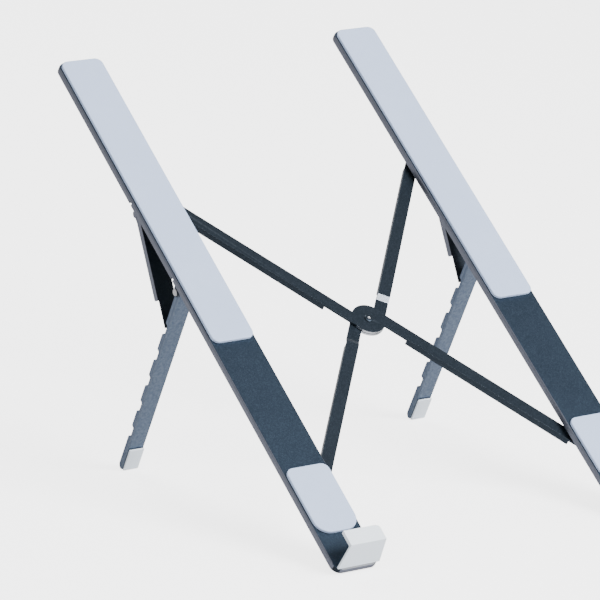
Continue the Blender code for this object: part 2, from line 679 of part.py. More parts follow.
def make_arm_end(name, frame, x, y):
    """Rivet and spacer that carry an arm under a rail; the head lies flush in the face."""
    head_top = RAIL_DEPTH - 0.5 * FIT_GAP
    tail_top = -ARM_DROP - ARM_SHEET - TOUCH_GAP
    make_rivet(f"{name}_rivet", frame, x, y, head_top, RIVET_HEAD, tail_top, RIVET_TAIL,
               RIVET_RADIUS + RIVET_TAIL_LIP)
    make_spacer(f"{name}_spacer", frame, x, y, -ARM_DROP + TOUCH_GAP,
                RAIL_DEPTH - FACE_SHEET - TOUCH_GAP, SPACER_RADIUS, "nylon_spacer")


# ---- the whole stand ----------------------------------------------------------------
def build_side(side, root):
    name = SIDE_NAMES[side]
    make_rail(side, root)
    make_pads(side, root)
    make_hook_cover(side, root)
    strut_bracket_width = strut_width - 2 * STRUT_SHEET - 2 * FIT_GAP
    make_bracket(side, root, "leg", LEG_HINGE_Y, LEG_HINGE_DROP, leg_bracket_width, True)
    make_bracket(side, root, "strut", STRUT_HINGE_Y, STRUT_HINGE_DROP, strut_bracket_width, False)
    make_hinge_pin(side, root, "leg", LEG_HINGE_Y, LEG_HINGE_DROP,
                   leg_bracket_width + 2 * BRACKET_SHEET)
    make_hinge_pin(side, root, "strut", STRUT_HINGE_Y, STRUT_HINGE_DROP, strut_width)
    leg_frame = add_frame(f"{name}_leg_hinge", root,
                          (across(side, leg_lane), LEG_HINGE_Y, -LEG_HINGE_DROP), -leg_angle)
    make_leg(side, leg_frame)
    make_foot_cap(side, leg_frame)
    strut_frame = add_frame(f"{name}_strut_hinge", root,
                            (across(side, leg_lane), STRUT_HINGE_Y, -STRUT_HINGE_DROP),
                            -strut_angle)
    make_strut(side, strut_frame)
    make_arm_end(f"{name}_pivot", root, across(side, ARM_LANE), ARM_PIVOT_Y)


def build_arms(root):
    """The upper arm runs from upper left to lower right, the lower arm the other way."""
    upper_frame = add_frame("upper_arm_hub", root, (0, hub_y, 0), turn_z=half_angle)
    lower_frame = add_frame("lower_arm_hub", root, (0, hub_y, 0), turn_z=-half_angle)
    make_upper_arm(upper_frame)
    make_lower_arm(lower_frame)
    make_hub(lower_frame)
    make_arm_end("left_slider", upper_frame, -ARM_OFFSET, half_length)
    make_arm_end("right_slider", lower_frame, ARM_OFFSET, half_length)


def centre_on_footprint(root):
    """Move the stand so that its origin is the middle of its footprint, on the table."""
    bpy.context.view_layer.update()
    low = Vector((math.inf,) * 3)
    high = Vector((-math.inf,) * 3)
    for item in collections["laptop_stand"].objects:
        if item.type == "MESH":
            for vertex in item.data.vertices:
                point = item.matrix_world @ vertex.co
                low = Vector(map(min, low, point))
                high = Vector(map(max, high, point))
    root.location = (-(low.x + high.x) / 2, -(low.y + high.y) / 2, -low.z)


def main():
    clear_scene()
    root = add_frame("stand_root", None, turn_x=rail_tilt)
    build_side(LEFT, root)
    build_side(RIGHT, root)
    build_arms(root)
    centre_on_footprint(root)
    bpy.context.view_layer.update()


main()
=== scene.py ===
# %% [markdown]
# # A folding laptop stand
# Two padded sheet-metal rails stand on a scissor of cross arms and on two notched legs.
# The fixed frame comes first: it holds every joint and every solid in its true place.
# Each visible piece is then rebuilt over it with soft edges and a worked surface finish.

# %% Load the frame
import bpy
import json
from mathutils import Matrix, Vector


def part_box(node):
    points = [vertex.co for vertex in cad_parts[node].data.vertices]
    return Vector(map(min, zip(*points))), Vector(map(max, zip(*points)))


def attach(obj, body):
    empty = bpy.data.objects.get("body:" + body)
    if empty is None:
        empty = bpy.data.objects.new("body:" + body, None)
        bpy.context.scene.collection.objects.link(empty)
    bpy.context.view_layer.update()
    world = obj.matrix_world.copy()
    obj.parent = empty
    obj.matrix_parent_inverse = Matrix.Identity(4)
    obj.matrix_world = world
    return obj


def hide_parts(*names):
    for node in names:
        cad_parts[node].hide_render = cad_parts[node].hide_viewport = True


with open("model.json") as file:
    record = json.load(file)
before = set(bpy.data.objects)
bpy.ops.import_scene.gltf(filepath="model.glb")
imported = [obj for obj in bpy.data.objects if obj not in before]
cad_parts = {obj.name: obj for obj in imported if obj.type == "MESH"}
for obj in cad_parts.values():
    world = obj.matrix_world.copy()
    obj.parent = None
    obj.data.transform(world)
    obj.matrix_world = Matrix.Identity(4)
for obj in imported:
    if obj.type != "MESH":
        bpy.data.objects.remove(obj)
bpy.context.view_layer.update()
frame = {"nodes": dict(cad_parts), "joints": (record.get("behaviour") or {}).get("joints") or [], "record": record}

# %% [markdown]
# The rails are tilted, so it is easier to draw in a frame of their own: X across, Y up
# along the rail and Z square to its face. The scissor joint lies on the left rail, and its
# axis is square to the rail's face, so that one joint gives both the slope and the place.

# %% The rails' own frame
import json
import math

import bmesh
import bpy
from mathutils import Matrix, Vector

joints = {joint["name"]: joint for joint in frame["joints"]}
SIDES = {"left": -1, "right": 1}
ARM_PIVOT_UP_RAIL = 0.0389

normal = Vector(joints["scissor_fold"]["axis"])
tilt = math.atan2(-normal.y, normal.z)
up_rail = Vector((0, math.cos(tilt), math.sin(tilt)))
start = Vector(joints["scissor_fold"]["pos_m"]) - ARM_PIVOT_UP_RAIL * up_rail
RAIL_FRAME = Matrix.Translation((0, start.y, start.z)) @ Matrix.Rotation(tilt, 4, "X")
print(f"rails slope {math.degrees(tilt):.2f} degrees, front edge at y {start.y * 1000:.1f} mm")

# %% [markdown]
# Sizes of what can be seen, in metres. They repeat the frame's, because every new piece
# must fill the same space as the solid it stands for.

# %% Sizes
RAIL_LENGTH, RAIL_WIDTH, RAIL_DEPTH = 0.250, 0.0193, 0.0028
RAIL_CENTRE = 0.0633            # from the middle of the stand to a rail's centre line
FACE_SHEET, BAND_SHEET = 0.0012, 0.0010
RAIL_CORNER = 0.0036
MM = 0.001
PAD_LOW = RAIL_DEPTH + 0.1 * MM  # the pads are glued down, so the gap under them is tiny
PAD_HIGH = RAIL_DEPTH + 1.4 * MM
print(f"rails {RAIL_LENGTH / MM:.0f} mm long, pads up to {PAD_HIGH / MM:.1f} mm")

# %% [markdown]
# A piece is a mesh with its place, its material, the body it rides on and the solid it
# stands for. One helper does all four, so that none can be forgotten. Smooth shading with
# sharp edges only above an angle keeps flats flat and lets the rounded folds roll over.

# %% Helper: make a piece
def add_piece(name, mesh, body, solids, materials, sharp=38):
    mesh.name = name
    mesh.materials.clear()
    for each in materials:
        mesh.materials.append(each)
    mesh.shade_smooth()
    mesh.set_sharp_from_angle(angle=math.radians(sharp))
    piece = bpy.data.objects.new(name, mesh)
    bpy.context.scene.collection.objects.link(piece)
    flats = piece.modifiers.new("keep flats flat", "WEIGHTED_NORMAL")
    flats.keep_sharp = True
    flats.weight = 80
    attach(piece, body)
    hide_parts(*solids)
    print(f"{name}: {len(mesh.polygons)} faces on {body}")
    return piece


# %% [markdown]
# ## Shader groups
# A surface effect that several finishes share is a node group: a small machine with named
# inputs and outputs. It gives out only masks, values and heights, and the shader itself
# stays in each material. The helper below makes an empty group with its sockets.

# %% Helper: a shader group
def new_group(name, inputs, outputs):
    group = bpy.data.node_groups.new(name, "ShaderNodeTree")
    for label, kind, value in inputs:
        made = group.interface.new_socket(label, in_out="INPUT", socket_type=kind)
        if value is not None:
            made.default_value = value
    for label, kind in outputs:
        group.interface.new_socket(label, in_out="OUTPUT", socket_type=kind)
    start_node = group.nodes.new("NodeGroupInput")
    end_node = group.nodes.new("NodeGroupOutput")
    return group, start_node, end_node


def noise(tree, vector, scale, detail=2.0, roughness=0.5):
    node = tree.nodes.new("ShaderNodeTexNoise")
    node.inputs["Detail"].default_value = detail
    node.inputs["Roughness"].default_value = roughness
    tree.links.new(vector, node.inputs["Vector"])
    if isinstance(scale, (int, float)):
        node.inputs["Scale"].default_value = scale
    else:
        tree.links.new(scale, node.inputs["Scale"])
    return node.outputs["Fac"]


def remap(tree, value, low, high, to_low=0.0, to_high=1.0):
    node = tree.nodes.new("ShaderNodeMapRange")
    for label, number in (("From Min", low), ("From Max", high),
                          ("To Min", to_low), ("To Max", to_high)):
        node.inputs[label].default_value = number
    tree.links.new(value, node.inputs["Value"])
    return node.outputs["Result"]


def calculate(tree, operation, first, second):
    node = tree.nodes.new("ShaderNodeMath")
    node.operation = operation
    for socket, value in zip(node.inputs, (first, second)):
        if isinstance(value, (int, float)):
            socket.default_value = value
        else:
            tree.links.new(value, socket)
    return node.outputs["Value"]


# %% [markdown]
# **Blasted grain.** Anodised sheet is bead blasted first, which leaves tiny pits that
# glitter. A Voronoi pattern gives one random value to each pit, and a fine noise blurs
# them together. The same pattern drives colour flecks, roughness and a very low bump.

# %% Group: blasted grain
FLOAT, VECTOR = "NodeSocketFloat", "NodeSocketVector"

grain, grain_in, grain_out = new_group(
    "Blasted grain",
    [("Vector", VECTOR, None), ("Pits per metre", FLOAT, 3200.0), ("Fleck share", FLOAT, 0.5)],
    [("Fleck", FLOAT), ("Height", FLOAT)])
pits = grain.nodes.new("ShaderNodeTexVoronoi")
grain.links.new(grain_in.outputs["Vector"], pits.inputs["Vector"])
grain.links.new(grain_in.outputs["Pits per metre"], pits.inputs["Scale"])
fine = noise(grain, grain_in.outputs["Vector"], grain_in.outputs["Pits per metre"], 3.0, 0.7)
pit_value = grain.nodes.new("ShaderNodeSeparateColor")
grain.links.new(pits.outputs["Color"], pit_value.inputs["Color"])
rare = calculate(grain, "POWER", pit_value.outputs["Red"], 3.0)
fleck = calculate(grain, "MULTIPLY", rare, grain_in.outputs["Fleck share"])
fleck = calculate(grain, "ADD", fleck, remap(grain, fine, 0.35, 0.75, 0.0, 0.5))
grain.links.new(fleck, grain_out.inputs["Fleck"])
grain.links.new(calculate(grain, "ADD", fine, pits.outputs["Distance"]), grain_out.inputs["Height"])
print("group:", grain.name, [item.name for item in grain.interface.items_tree])

# %% [markdown]
# **Handling marks.** Fingers and sleeves leave wide, faint patches that are a little
# smoother than the rest. Two noises of different size are multiplied, so that the patches
# come in clusters and not as an even pattern.

# %% Group: handling marks
marks, marks_in, marks_out = new_group(
    "Handling marks",
    [("Vector", VECTOR, None), ("Patches per metre", FLOAT, 70.0), ("Amount", FLOAT, 0.5)],
    [("Mask", FLOAT)])
wide = noise(marks, marks_in.outputs["Vector"], marks_in.outputs["Patches per metre"], 2.0)
small_scale = calculate(marks, "MULTIPLY", marks_in.outputs["Patches per metre"], 6.5)
small = noise(marks, marks_in.outputs["Vector"], small_scale, 4.0, 0.6)
clusters = calculate(marks, "MULTIPLY", remap(marks, wide, 0.42, 0.68), remap(marks, small, 0.3, 0.7))
marks.links.new(calculate(marks, "MULTIPLY", clusters, marks_in.outputs["Amount"]),
                marks_out.inputs["Mask"])
print("group:", marks.name)

# %% [markdown]
# **Rubbed edges.** Where sheet metal folds, the dye wears thin and the bare metal starts to
# show. Pointiness says how sharply the surface turns, and a noise breaks the line up, so
# that the wear is never even.

# %% Group: rubbed edges
rub, rub_in, rub_out = new_group(
    "Rubbed edges",
    [("Vector", VECTOR, None), ("Breaks per metre", FLOAT, 900.0), ("Amount", FLOAT, 0.6)],
    [("Mask", FLOAT)])
turning = rub.nodes.new("ShaderNodeNewGeometry").outputs["Pointiness"]
broken = noise(rub, rub_in.outputs["Vector"], rub_in.outputs["Breaks per metre"], 4.0, 0.65)
edge = calculate(rub, "MULTIPLY", remap(rub, turning, 0.53, 0.66), remap(rub, broken, 0.3, 0.62))
rub.links.new(calculate(rub, "MULTIPLY", edge, rub_in.outputs["Amount"]), rub_out.inputs["Mask"])
print("group:", rub.name)

# %% [markdown]
# **Drawn lines.** Turned and rolled steel carries fine parallel lines. A noise that is
# stretched along one direction gives them without any image.

# %% Group: drawn lines
lines, lines_in, lines_out = new_group(
    "Drawn lines",
    [("Vector", VECTOR, None), ("Lines per metre", FLOAT, 5000.0)],
    [("Line", FLOAT)])
stretch = lines.nodes.new("ShaderNodeMapping")
stretch.inputs["Scale"].default_value = (1.0, 0.04, 0.04)
lines.links.new(lines_in.outputs["Vector"], stretch.inputs["Vector"])
line = noise(lines, stretch.outputs["Vector"], lines_in.outputs["Lines per metre"], 3.0, 0.6)
lines.links.new(line, lines_out.inputs["Line"])
print("group:", lines.name)


# %% [markdown]
# ## Finishes
# Each finish is one Principled BSDF, with the groups feeding its colour, roughness and
# bump. What is the same all over a surface is set on the shader's own socket.

# %% Helper: start a material
def start_material(name, metallic, **fixed):
    made = bpy.data.materials.new(name)
    made.use_nodes = True
    tree = made.node_tree
    shader = tree.nodes["Principled BSDF"]
    shader.inputs["Metallic"].default_value = metallic
    for label, value in fixed.items():
        shader.inputs[label.replace("_", " ")].default_value = value
    place = tree.nodes.new("ShaderNodeTexCoord").outputs["Object"]
    return made, tree, shader, place


def use_group(tree, group, place, **values):
    node = tree.nodes.new("ShaderNodeGroup")
    node.node_tree = group
    tree.links.new(place, node.inputs["Vector"])
    for label, value in values.items():
        node.inputs[label.replace("_", " ")].default_value = value
    return node


def blend_colours(tree, factor, first, second):
    node = tree.nodes.new("ShaderNodeMix")
    node.data_type = "RGBA"
    tree.links.new(factor, node.inputs[0])
    for socket, value in ((node.inputs[6], first), (node.inputs[7], second)):
        if isinstance(value, tuple):
            socket.default_value = (*value, 1.0)
        else:
            tree.links.new(value, socket)
    return node.outputs[2]


def bump(tree, shader, height, distance, strength=1.0):
    node = tree.nodes.new("ShaderNodeBump")
    node.inputs["Distance"].default_value = distance
    node.inputs["Strength"].default_value = strength
    tree.links.new(height, node.inputs["Height"])
    tree.links.new(node.outputs["Normal"], shader.inputs["Normal"])


# %% [markdown]
# **Anodised sheet.** Dyed aluminium is a metal seen through a tinted skin, so it is nearly
# fully metallic with a dark blue-grey base colour and a satin roughness. The rails, arms
# and legs share one recipe with their own colours.

# %% Finish: anodised sheet
def anodised(name, dark, light, worn, roughness, flecks=0.6, metallic=0.8):
    made, tree, shader, place = start_material(name, metallic, Specular_IOR_Level=0.5)
    pits_node = use_group(tree, grain, place, Pits_per_metre=4200.0, Fleck_share=flecks)
    touched = use_group(tree, marks, place, Patches_per_metre=60.0, Amount=0.5)
    edges = use_group(tree, rub, place, Breaks_per_metre=900.0, Amount=0.25)
    colour = blend_colours(tree, pits_node.outputs["Fleck"], dark, light)
    colour = blend_colours(tree, edges.outputs["Mask"], colour, worn)
    tree.links.new(colour, shader.inputs["Base Color"])
    rough = remap(tree, pits_node.outputs["Fleck"], 0.0, 1.0, roughness, roughness + 0.14)
    smoother = calculate(tree, "MULTIPLY", touched.outputs["Mask"], 0.12)
    tree.links.new(calculate(tree, "SUBTRACT", rough, smoother), shader.inputs["Roughness"])
    bump(tree, shader, pits_node.outputs["Height"], 0.00004, 0.35)
    return made


rail_metal = anodised("anodised_rail", (0.016, 0.028, 0.047), (0.048, 0.072, 0.106),
                      (0.18, 0.21, 0.26), 0.42)
# A paler copy of the same dye paints the sheen that the side bands catch.
band_sheen_metal = anodised("anodised_band_painted_sheen", (0.138, 0.148, 0.188), (0.186, 0.200, 0.242),
                      (0.30, 0.32, 0.37), 0.40)
# A pale grey copy of the dye paints a highlight along each rail's front fold.
front_highlight_metal = anodised("anodised_front_painted_highlight", (0.36, 0.375, 0.41), (0.46, 0.475, 0.51),
                       (0.50, 0.52, 0.55), 0.34, 0.3)
arm_metal = anodised("anodised_arm", (0.012, 0.020, 0.030), (0.034, 0.048, 0.066),
                     (0.16, 0.19, 0.23), 0.38)
# A paler copy of the arm's dye paints a thin highlight along the arms' folds.
fold_highlight_metal = anodised("anodised_fold_painted_highlight", (0.070, 0.086, 0.105), (0.13, 0.15, 0.18),
                      (0.30, 0.33, 0.37), 0.32)
# A paler copy of the arm's dye paints the highlight on the lower arm's ramp.
ramp_highlight_metal = anodised("anodised_ramp_painted_highlight", (0.10, 0.112, 0.130), (0.17, 0.185, 0.205),
                      (0.34, 0.36, 0.39), 0.30, 0.3)
leg_metal = anodised("anodised_leg", (0.074, 0.106, 0.166), (0.092, 0.128, 0.194),
                     (0.34, 0.40, 0.48), 0.34, 0.3)
# A near-black copy of the dye paints the shade inside hollows and channels.
shade_metal = anodised("anodised_inside_painted_shade", (0.011, 0.017, 0.025), (0.026, 0.036, 0.048),
                       (0.05, 0.06, 0.08), 0.50)
FINISHES = (rail_metal, band_sheen_metal, front_highlight_metal, arm_metal, fold_highlight_metal, ramp_highlight_metal,
            leg_metal, shade_metal)
print("finishes:", [each.name for each in FINISHES])

# %% [markdown]
# ** Bright metals.** The rim of the hub's disc is bright cut metal, and the same bright finish paints a highlight in the pit of its rivet; the pins and rivets are steel. Both have drawn lines and no dye, so they share one recipe: the same lines drive the colour, the roughness and a very low bump.
# recipe: the same lines drive the colour, the roughness and a very low bump.

# %% Finish: bright metals
def bright(name, colour, shade, roughness, per_metre):
    made, tree, shader, place = start_material(name, 1.0)
    drawn = use_group(tree, lines, place, Lines_per_metre=per_metre)
    touched = use_group(tree, marks, place, Patches_per_metre=160.0, Amount=0.8)
    tint = blend_colours(tree, drawn.outputs["Line"], shade, colour)
    tree.links.new(tint, shader.inputs["Base Color"])
    rough = remap(tree, drawn.outputs["Line"], 0.3, 0.7, roughness, roughness + 0.15)
    worn = calculate(tree, "MULTIPLY", touched.outputs["Mask"], 0.10)
    tree.links.new(calculate(tree, "ADD", rough, worn), shader.inputs["Roughness"])
    bump(tree, shader, drawn.outputs["Line"], 0.00002, 0.3)
    return made


cut_edge_and_glint_metal = bright("bright_cut_edge_and_painted_glint", (0.80, 0.82, 0.86), (0.50, 0.52, 0.56), 0.26, 6000.0)
pin_steel = bright("pin_steel", (0.62, 0.62, 0.63), (0.36, 0.36, 0.38), 0.28, 5000.0)
print("finishes:", cut_edge_and_glint_metal.name, pin_steel.name)

# %% [markdown]
# **Silicone.** The pads and covers are matt moulded rubber. It isn't a metal, its gloss is
# weak, and dust settles on it in faint patches. Light scattered under its skin could be
# added, but on parts about a millimetre thick it would hardly show.

# %% Finish: silicone
def silicone(name, body_colour, dust_colour, roughness):
    made, tree, shader, place = start_material(name, 0.0, Specular_IOR_Level=0.35)
    skin = use_group(tree, grain, place, Pits_per_metre=5200.0, Fleck_share=0.15)
    dusty = use_group(tree, marks, place, Patches_per_metre=45.0, Amount=0.75)
    edges = use_group(tree, rub, place, Breaks_per_metre=500.0, Amount=0.3)
    colour = blend_colours(tree, dusty.outputs["Mask"], body_colour, dust_colour)
    colour = blend_colours(tree, edges.outputs["Mask"], colour, (0.86, 0.88, 0.93))
    tree.links.new(colour, shader.inputs["Base Color"])
    rough = remap(tree, skin.outputs["Fleck"], 0.0, 0.7, roughness - 0.06, roughness + 0.06)
    dull = calculate(tree, "MULTIPLY", dusty.outputs["Mask"], 0.10)
    tree.links.new(calculate(tree, "ADD", rough, dull), shader.inputs["Roughness"])
    bump(tree, shader, skin.outputs["Height"], 0.00003, 0.25)
    return made


pad_silicone = silicone("silicone_pad", (0.455, 0.560, 0.78), (0.495, 0.600, 0.82), 0.58)
cover_silicone = silicone("silicone_cover", (0.84, 0.92, 1.0), (0.87, 0.94, 1.0), 0.52)
print("finishes:", pad_silicone.name, cover_silicone.name)

# %% [markdown]
# **Nylon.** The small spacers are black moulded nylon with a faint grain.

# %% Finish: nylon
nylon, nylon_tree, nylon_shader, nylon_place = start_material("nylon_black", 0.0)
nylon_grain = use_group(nylon_tree, grain, nylon_place, Pits_per_metre=6000.0, Fleck_share=0.3)
nylon_tree.links.new(
    blend_colours(nylon_tree, nylon_grain.outputs["Fleck"], (0.016, 0.017, 0.019), (0.05, 0.05, 0.055)),
    nylon_shader.inputs["Base Color"])
nylon_tree.links.new(remap(nylon_tree, nylon_grain.outputs["Fleck"], 0.0, 1.0, 0.42, 0.6),
                     nylon_shader.inputs["Roughness"])
bump(nylon_tree, nylon_shader, nylon_grain.outputs["Height"], 0.00003, 0.3)
print("finish:", nylon.name)


# %% [markdown]
# ## Shapes from rings
# A pressed sheet or a moulded pad with a rounded outline is a stack of rings: the same
# outline, set in by a little more at each height. Joined with quads, the rings give a clean
# rounded edge without any cutting. A ring just inside each rounded edge keeps the flat
# face flat when it is shaded smooth.

# %% Helper: outlines and rings
def rounded_outline(x0, x1, y0, y1, radii, inset=0.0, steps=8):
    """A rounded rectangle, counter-clockwise; radii for corners x0y0, x1y0, x1y1 and x0y1."""
    points = []
    corners = ((x0, y0, 180), (x1, y0, 270), (x1, y1, 0), (x0, y1, 90))
    for (x, y, angle), radius in zip(corners, radii):
        towards_x = 1 if x == x0 else -1
        towards_y = 1 if y == y0 else -1
        centre = (x + towards_x * radius, y + towards_y * radius)
        kept = max(radius - inset, 0.02 * MM)
        shift = inset - (radius - kept)
        for step in range(steps + 1):
            turn = math.radians(angle + 90 * step / steps)
            points.append((centre[0] + towards_x * shift + kept * math.cos(turn),
                           centre[1] + towards_y * shift + kept * math.sin(turn)))
    return points


def mesh_from_rings(rings, place=RAIL_FRAME):
    work = bmesh.new()
    rows = [[work.verts.new(point) for point in ring] for ring in rings]
    count = len(rings[0])
    for low, high in zip(rows, rows[1:]):
        for i in range(count):
            j = (i + 1) % count
            work.faces.new((low[i], low[j], high[j], high[i]))
    work.faces.new(list(reversed(rows[0])))
    work.faces.new(rows[-1])
    bmesh.ops.recalc_face_normals(work, faces=work.faces)
    mesh = bpy.data.meshes.new("rings")
    work.to_mesh(mesh)
    work.free()
    mesh.transform(place)
    return mesh


def quarter(inset, height, radius, start_angle, steps=4):
    """(inset, height) pairs round a convex edge whose centre is inset by the radius."""
    pairs = []
    for step in range(steps + 1):
        turn = math.radians(start_angle + 90 * step / steps)
        pairs.append((inset + radius - radius * math.cos(turn), height + radius * math.sin(turn)))
    return pairs


# %% [markdown]
# ## Cutting
# Slots, holes and nicks are cut with an exact boolean, and the result is stored as a plain
# mesh, so nothing depends on the cutter afterwards.

# %% Helper: cut and prism
def cut(mesh, *cutters):
    holder = bpy.data.objects.new("work", mesh)
    bpy.context.scene.collection.objects.link(holder)
    tools = []
    for shape in cutters:
        tool = bpy.data.objects.new("tool", shape)
        bpy.context.scene.collection.objects.link(tool)
        step = holder.modifiers.new("cut", "BOOLEAN")
        step.object = tool
        step.solver = "EXACT"
        tools.append(tool)
    graph = bpy.context.evaluated_depsgraph_get()
    made = bpy.data.meshes.new_from_object(holder.evaluated_get(graph))
    for item in [holder] + tools:
        bpy.data.objects.remove(item)
    return made


def prism(outline, low, high, place=RAIL_FRAME):
    """A flat outline in X and Y made solid between two heights."""
    return mesh_from_rings([[(x, y, low) for x, y in outline], [(x, y, high) for x, y in outline]],
                           place)


# %% [markdown]
# ## Rails
# Each rail is a shallow pan pressed from sheet: a flat face whose edges fold down into a
# narrow side band. The ring profile walks from the underside of the face, down the inside
# of the band, round its lower lip, up the outside and over the fold. The underside is
# open, so a rail seen from below is hollow.

# %% Rails: the pressed pan
FOLD_RADIUS = 0.75 * MM
LIP_RADIUS = 0.25 * MM
CEILING = RAIL_DEPTH - FACE_SHEET

pan_profile = [(BAND_SHEET + 0.5 * MM, CEILING), (BAND_SHEET + 0.25 * MM, CEILING - 0.05 * MM),
               (BAND_SHEET, CEILING - 0.3 * MM), (BAND_SHEET, LIP_RADIUS)]
for inset, height in quarter(0.0, 0.0, LIP_RADIUS, 0):
    pan_profile.append((BAND_SHEET - inset, LIP_RADIUS - height))
for inset, height in reversed(quarter(0.0, 0.0, LIP_RADIUS, 0)):
    pan_profile.append((inset, LIP_RADIUS - height))
pan_profile += quarter(0.0, RAIL_DEPTH - FOLD_RADIUS, FOLD_RADIUS, 0, 6)
pan_profile.append((FOLD_RADIUS + 0.1 * MM, RAIL_DEPTH))


def rail_pan(side):
    x0 = side * RAIL_CENTRE - RAIL_WIDTH / 2
    rings = []
    for inset, height in pan_profile:
        outline = rounded_outline(x0, x0 + RAIL_WIDTH, 0, RAIL_LENGTH, [RAIL_CORNER] * 4, inset)
        rings.append([(x, y, height) for x, y in outline])
    return mesh_from_rings(rings)


print("pan profile:", len(pan_profile), "rings")

# %% [markdown]
# The face is pierced by the slot that an arm's end slides in and by the rivet holes. Four
# small nicks in the outer band relieve the sheet beside the brackets.

# %% Rails: slot, holes and nicks
SLOT_X = 0.0574
SLOT_START, SLOT_END = 0.18034, 0.22142
LEG_LINE = 0.067125
BRACKET_PLACES = (0.1367, 0.1750)
HOLE_RADIUS, SINK_RADIUS = 1.4 * MM, 2.4 * MM
SINK_DEPTH = 0.6 * MM
NICK_OFFSET, NICK_LENGTH, NICK_DEPTH = 2.8 * MM, 1.4 * MM, 1.3 * MM


def circle(x, y, radius, count=32):
    return [(x + radius * math.cos(2 * math.pi * i / count),
             y + radius * math.sin(2 * math.pi * i / count)) for i in range(count)]


def slot_outline(x, radius, count=12):
    points = [(x + radius * math.cos(math.pi + math.pi * i / count),
               SLOT_START + radius * math.sin(math.pi + math.pi * i / count))
              for i in range(count + 1)]
    points += [(x + radius * math.cos(math.pi * i / count),
                SLOT_END + radius * math.sin(math.pi * i / count)) for i in range(count + 1)]
    return points


def rail_cutters(side):
    low, high = 0.5 * MM, RAIL_DEPTH + 1 * MM
    sink = RAIL_DEPTH - SINK_DEPTH
    slot_x, leg_x = side * SLOT_X, side * LEG_LINE
    shapes = [prism(slot_outline(slot_x, HOLE_RADIUS), low, high),
              prism(slot_outline(slot_x, SINK_RADIUS), sink, high)]
    for x, y in [(slot_x, ARM_PIVOT_UP_RAIL)] + [(leg_x, y) for y in BRACKET_PLACES]:
        shapes.append(prism(circle(x, y, HOLE_RADIUS), low, high))
        shapes.append(prism(circle(x, y, SINK_RADIUS), sink, high))
    outer = side * (RAIL_CENTRE + RAIL_WIDTH / 2)
    for y in BRACKET_PLACES:
        nick = y + NICK_OFFSET
        outline = [(outer - 2 * MM, nick), (outer + 2 * MM, nick),
                   (outer + 2 * MM, nick + NICK_LENGTH), (outer - 2 * MM, nick + NICK_LENGTH)]
        shapes.append(prism(outline, -1 * MM, NICK_DEPTH))
    return shapes


def paint_rail(mesh, side):
    """Finish 1 is a painted highlight on the front fold, 2 the band's paler painted sheen and 3 painted shade in
    the hollow inside.
    """
    back = RAIL_FRAME.inverted()
    turn = back.to_3x3()
    fold_low = RAIL_DEPTH - FOLD_RADIUS
    half = RAIL_WIDTH / 2
    for face in mesh.polygons:
        middle = back @ face.center
        facing = turn @ face.normal
        from_edge = half - abs(middle.x - side * RAIL_CENTRE)
        on_front = middle.y < 1.2 * MM and from_edge > 2.6 * MM
        if middle.z > RAIL_DEPTH + 0.05 * MM:
            continue
        if on_front and facing.y < -0.2:
            face.material_index = 1 if middle.z > fold_low else 2
        elif min(from_edge, middle.y, RAIL_LENGTH - middle.y) < 0.3 * MM or middle.z < 0.3 * MM:
            face.material_index = 2
        elif facing.z < 0.5 and middle.z < RAIL_DEPTH - 0.1 * MM:
            face.material_index = 3
    return [sum(face.material_index == i for face in mesh.polygons) for i in range(4)]


# %% [markdown]
# ## Hooks
# At the front of each rail a tongue of the same sheet stands up and leans back a little.
# It is a strip seen from the side, narrow enough to sit within its cover, and its edges
# are broken by a small bevel. Rounding works on any solid, so it is a helper of its own.

# %% Helper: round the edges of any solid
SHARP_ANGLE = math.radians(25)
FLAT_ANGLE = math.radians(1)
SAME_PLACE = 2e-6


def round_edges(mesh, edge, segments=2):
    """Merges flat facets, then bevels every edge that turns by more than the sharp angle."""
    work = bmesh.new()
    work.from_mesh(mesh)
    bmesh.ops.remove_doubles(work, verts=work.verts, dist=SAME_PLACE)
    bmesh.ops.dissolve_limit(work, angle_limit=FLAT_ANGLE, verts=work.verts, edges=work.edges)
    sharp = [e for e in work.edges
             if len(e.link_faces) == 2 and e.calc_face_angle(0.0) > SHARP_ANGLE]
    bmesh.ops.bevel(work, geom=sharp, offset=edge, segments=segments, affect="EDGES",
                    profile=0.5, clamp_overlap=True)
    bmesh.ops.recalc_face_normals(work, faces=work.faces)
    rounded = bpy.data.meshes.new("rounded")
    work.to_mesh(rounded)
    work.free()
    return rounded


# %% [markdown]
# The tongue and its cover are both outlines in side view, pushed out to a width. The
# tongue is merged with its rail, because they are one sheet on the real stand.

# %% Helpers: a bent strip, and merging
def strip(outline, x0, x1):
    """A side view in Y and Z, made solid between x0 and x1, in the rails' frame."""
    work = bmesh.new()
    first = [work.verts.new((x0, y, z)) for y, z in outline]
    last = [work.verts.new((x1, y, z)) for y, z in outline]
    count = len(outline)
    for i in range(count):
        j = (i + 1) % count
        work.faces.new((first[i], first[j], last[j], last[i]))
    work.faces.new(list(reversed(first)))
    work.faces.new(last)
    bmesh.ops.recalc_face_normals(work, faces=work.faces)
    mesh = bpy.data.meshes.new("strip")
    work.to_mesh(mesh)
    work.free()
    return mesh


def merged(*meshes):
    work = bmesh.new()
    for mesh in meshes:
        work.from_mesh(mesh)
    mesh = bpy.data.meshes.new("merged")
    work.to_mesh(mesh)
    work.free()
    return mesh


# %% [markdown]
# Now both rails are built. The pan is cut first and joined with its tongue, and each face is given its finish by
# where it lies: a painted highlight on the front fold, a paler painted sheen on the band or painted shade in the
# hollow.

# %% Rails: build both, with their hooks
HOOK_HEIGHT, HOOK_LEAN, HOOK_LIP = 15.4 * MM, 1.0 * MM, 7.8 * MM
HOOK_SHEET, COVER_SKIN = 1.0 * MM, 0.8 * MM
HOOK_TOP_WIDTH, HOOK_BASE_WIDTH = 15.0 * MM, 17.8 * MM
TONGUE_GAP = 0.2 * MM           # between the tongue and its cover


